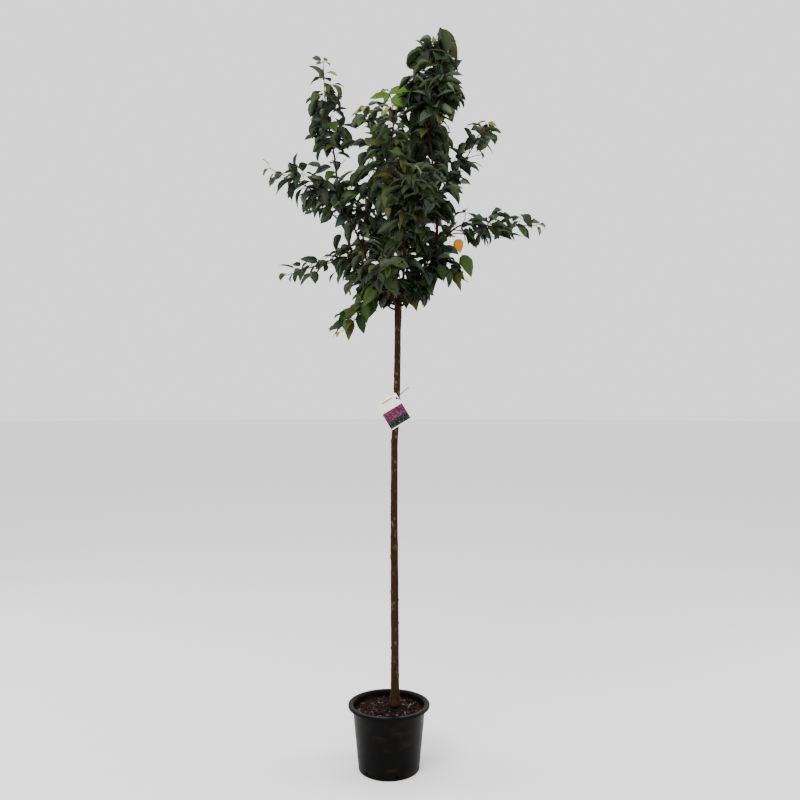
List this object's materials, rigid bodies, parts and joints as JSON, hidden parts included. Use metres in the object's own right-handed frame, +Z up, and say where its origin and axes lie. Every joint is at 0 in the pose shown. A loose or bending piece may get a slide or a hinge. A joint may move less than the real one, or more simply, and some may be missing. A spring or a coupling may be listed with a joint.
{
  "type": "potted kanzan cherry tree",
  "caption": "Young flowering cherry grafted as a standard: a bare upright stem with a loose leafy crown on top, growing in a round black nursery pot.",
  "frame": {"origin": "centre of the pot's flat underside", "axes": "+Z up along the stem, -Y towards the front of the tree as pictured, +X to the right of that view"},
  "size_m": [1.0972, 1.0213, 2.9657],
  "materials": {
    "pot_plastic": "satin",
    "potting_mix": "matte",
    "bark": "matte",
    "foliage": "satin",
    "label_card": "satin",
    "tie_wire": "matte"
  },
  "bodies": {
    "root": {"bough_back_low_wing": "bark", "bough_back_wing": "bark", "bough_front_low_wing": "bark", "bough_front_wing": "bark", "bough_left_hanging": "bark", "bough_left_leader": "bark", "bough_left_low_wing": "bark", "bough_left_wing": "bark", "bough_middle_leader": "bark", "bough_right_leader": "bark", "bough_right_low_wing": "bark", "bough_right_wing": "bark", "foliage_back_leader": "foliage", "foliage_back_low_wing": "foliage", "foliage_back_wing": "foliage", "foliage_front_low_wing": "foliage", "foliage_front_spur": "foliage", "foliage_front_wing": "foliage", "foliage_left_core": "foliage", "foliage_left_hanging": "foliage", "foliage_left_leader": "foliage", "foliage_left_low_wing": "foliage", "foliage_left_skirt": "foliage", "foliage_left_spur": "foliage", "foliage_left_wing": "foliage", "foliage_middle_leader": "foliage", "foliage_right_core": "foliage", "foliage_right_leader": "foliage", "foliage_right_low_wing": "foliage", "foliage_right_shoulder": "foliage", "foliage_right_skirt": "foliage", "foliage_right_wing": "foliage", "foliage_upper_core": "foliage", "label": "label_card", "label_tie": "tie_wire", "pot": "pot_plastic", "potting_mix": "potting_mix", "trunk": "bark"}
  },
  "joints": []
}
